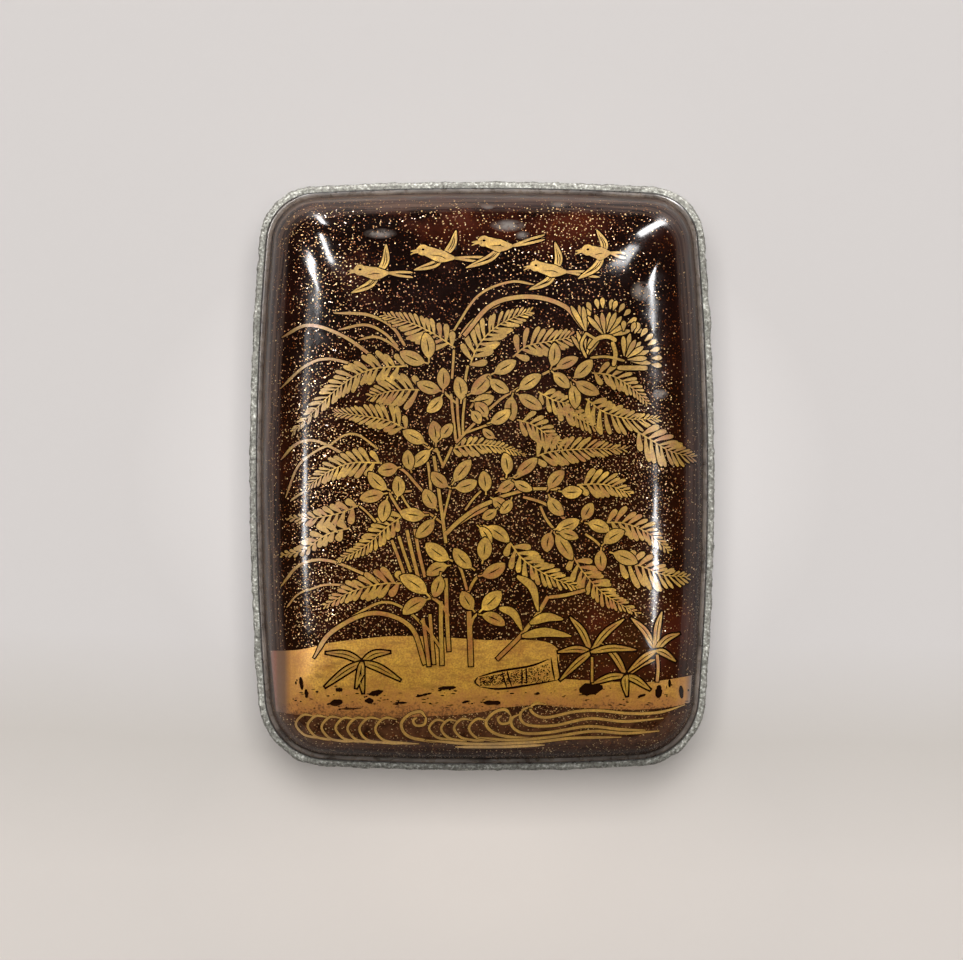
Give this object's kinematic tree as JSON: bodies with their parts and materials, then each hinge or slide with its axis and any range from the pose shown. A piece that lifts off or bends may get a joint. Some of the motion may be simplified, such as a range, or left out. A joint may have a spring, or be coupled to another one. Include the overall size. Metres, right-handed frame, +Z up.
{
  "type": "lacquered incense box",
  "caption": "Small lacquered box with bowed sides and round corners: a shallow hollow body and a domed lift-off lid, with a soft metal rim let in at each mouth.",
  "frame": {"origin": "middle of the flat underside of the body, at the lowest point of the closed box", "axes": "+Z up through the lid, +Y towards the head of the lid, where the birds fly, +X to the right as the picture is read from above"},
  "size_m": [0.06, 0.076, 0.0268],
  "materials": {
    "lacquer": "dark brown-black lacquer over thin wood, glossy, sprinkled with small gold flakes; the lid carries a gold picture",
    "rim_metal": "soft grey tin or lead alloy, dull, with a granular corroded skin"
  },
  "bodies": {
    "root": {"body": "lacquer", "lid": "lacquer", "body_rim": "rim_metal", "lid_rim": "rim_metal"}
  },
  "joints": []
}
